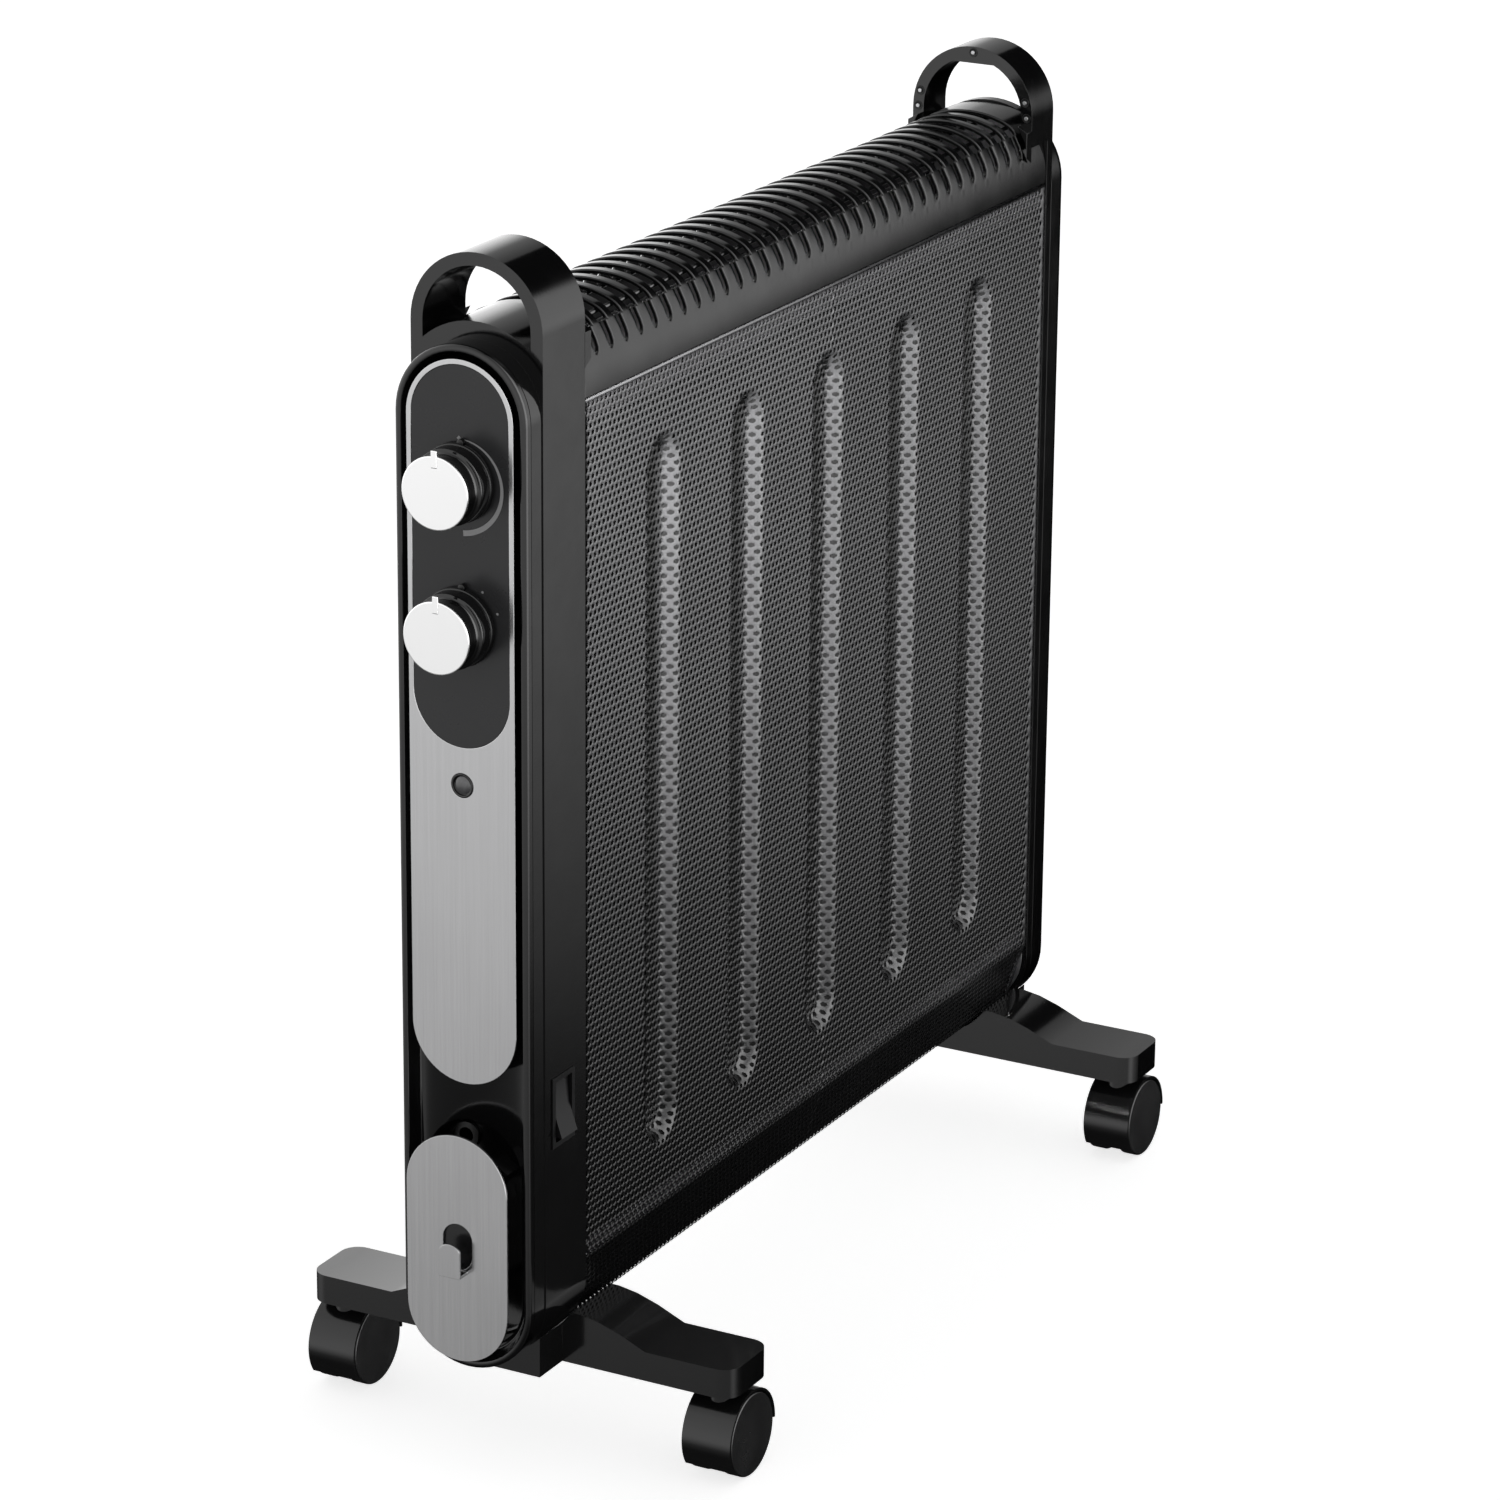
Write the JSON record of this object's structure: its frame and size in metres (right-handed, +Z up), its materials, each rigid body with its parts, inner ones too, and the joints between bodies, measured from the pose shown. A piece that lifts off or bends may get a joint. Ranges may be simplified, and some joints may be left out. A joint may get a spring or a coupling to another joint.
{
  "type": "panel convector heater",
  "caption": "Slim upright electric panel heater on castors with perforated side panels, slotted top grille, handle rings, control dials and a cord winder bay.",
  "frame": {"origin": "on the floor, under the centre of the bounding box", "axes": "+X along the length towards the far end, controls at -X; +Y towards the rear panel, the rocker switch faces -Y; +Z up"},
  "size_m": [0.624, 0.253, 0.64],
  "materials": {
    "frame_plastic": "gloss black moulded plastic",
    "silver_plate": "fine vertical brushed satin silver",
    "dial_inlay": "smooth dark grey inlay with pale dial marks",
    "knob_black": "gloss black moulded plastic",
    "knob_silver": "bright satin metal",
    "perforated_steel": "satin black paint on perforated sheet",
    "grille_plastic": "gloss black moulded plastic",
    "mica_board": "speckled mica board",
    "bare_steel": "zinc plated steel",
    "switch_plastic": "cream switch plastic",
    "lens_smoke": "smoked indicator lens",
    "lamp_amber": "amber lamp",
    "wire_insulation": "heat resistant wire insulation",
    "winder_plastic": "gloss black moulded plastic",
    "rocker_plastic": "gloss black moulded plastic",
    "foot_plastic": "satin black moulded plastic",
    "castor_plastic": "satin black moulded plastic",
    "wheel_plastic": "satin black nylon"
  },
  "bodies": {
    "root": {"control_frame": "frame_plastic", "control_cover": "frame_plastic", "control_plate": "silver_plate", "dial_inlay": "dial_inlay", "thermostat_body": "switch_plastic", "selector_body": "switch_plastic", "indicator_lens": "lens_smoke", "neon_lamp": "lamp_amber", "rocker_housing": "rocker_plastic", "thermal_cutout": "bare_steel", "tip_over_switch": "switch_plastic", "terminal_block": "switch_plastic", "wiring_loom": "wire_insulation", "cord_gland": "winder_plastic", "winder_drum": "winder_plastic", "winder_plate": "silver_plate", "far_frame": "frame_plastic", "far_cover": "frame_plastic", "front_panel": "perforated_steel", "rear_panel": "perforated_steel", "top_grille": "grille_plastic", "front_element": "mica_board", "rear_element": "mica_board", "reflector_sheet": "bare_steel", "upper_rail": "bare_steel", "lower_rail": "bare_steel", "control_bulkhead": "bare_steel", "far_bulkhead": "bare_steel", "control_foot": "foot_plastic", "far_foot": "foot_plastic", "handle_screws": "bare_steel", "foot_screws": "bare_steel", "bulkhead_screws": "bare_steel"},
    "thermostat": {"thermostat_knob": "knob_black", "thermostat_cap": "knob_silver", "thermostat_shaft": "bare_steel"},
    "selector": {"selector_knob": "knob_black", "selector_cap": "knob_silver", "selector_shaft": "bare_steel"},
    "rocker": {"rocker_button": "rocker_plastic"},
    "castor_fl_swivel": {"castor_fl_hood": "castor_plastic", "castor_fl_stem": "bare_steel"},
    "castor_fl_roll": {"castor_fl_wheels": "wheel_plastic", "castor_fl_axle": "bare_steel"},
    "castor_rl_swivel": {"castor_rl_hood": "castor_plastic", "castor_rl_stem": "bare_steel"},
    "castor_rl_roll": {"castor_rl_wheels": "wheel_plastic", "castor_rl_axle": "bare_steel"},
    "castor_fr_swivel": {"castor_fr_hood": "castor_plastic", "castor_fr_stem": "bare_steel"},
    "castor_fr_roll": {"castor_fr_wheels": "wheel_plastic", "castor_fr_axle": "bare_steel"},
    "castor_rr_swivel": {"castor_rr_hood": "castor_plastic", "castor_rr_stem": "bare_steel"},
    "castor_rr_roll": {"castor_rr_wheels": "wheel_plastic", "castor_rr_axle": "bare_steel"}
  },
  "joints": [
    {"name": "thermostat_turn", "type": "hinge", "parent": "root", "child": "thermostat", "pos_m": [-0.288, 0, 0.53], "axis": [1, 0, 0], "range_deg": [0, 180]},
    {"name": "selector_turn", "type": "hinge", "parent": "root", "child": "selector", "pos_m": [-0.288, 0, 0.457], "axis": [1, 0, 0], "range_deg": [0, 135]},
    {"name": "rocker_tilt", "type": "hinge", "parent": "root", "child": "rocker", "pos_m": [-0.2542, -0.0334, 0.199], "axis": [1, 0, 0], "range_deg": [0, 22]},
    {"name": "castor_fl_swivel", "type": "hinge", "parent": "root", "child": "castor_fl_swivel", "pos_m": [-0.2228, -0.1125, 0.04], "axis": [0, 0, 1], "continuous": true},
    {"name": "castor_fl_roll", "type": "hinge", "parent": "castor_fl_swivel", "child": "castor_fl_roll", "pos_m": [-0.2158, -0.1125, 0.0225], "axis": [0, 1, 0], "continuous": true},
    {"name": "castor_rl_swivel", "type": "hinge", "parent": "root", "child": "castor_rl_swivel", "pos_m": [-0.2228, 0.1125, 0.04], "axis": [0, 0, 1], "continuous": true},
    {"name": "castor_rl_roll", "type": "hinge", "parent": "castor_rl_swivel", "child": "castor_rl_roll", "pos_m": [-0.2158, 0.1125, 0.0225], "axis": [0, 1, 0], "continuous": true},
    {"name": "castor_fr_swivel", "type": "hinge", "parent": "root", "child": "castor_fr_swivel", "pos_m": [0.258, -0.1125, 0.04], "axis": [0, 0, 1], "continuous": true},
    {"name": "castor_fr_roll", "type": "hinge", "parent": "castor_fr_swivel", "child": "castor_fr_roll", "pos_m": [0.265, -0.1125, 0.0225], "axis": [0, 1, 0], "continuous": true},
    {"name": "castor_rr_swivel", "type": "hinge", "parent": "root", "child": "castor_rr_swivel", "pos_m": [0.258, 0.1125, 0.04], "axis": [0, 0, 1], "continuous": true},
    {"name": "castor_rr_roll", "type": "hinge", "parent": "castor_rr_swivel", "child": "castor_rr_roll", "pos_m": [0.265, 0.1125, 0.0225], "axis": [0, 1, 0], "continuous": true}
  ]
}
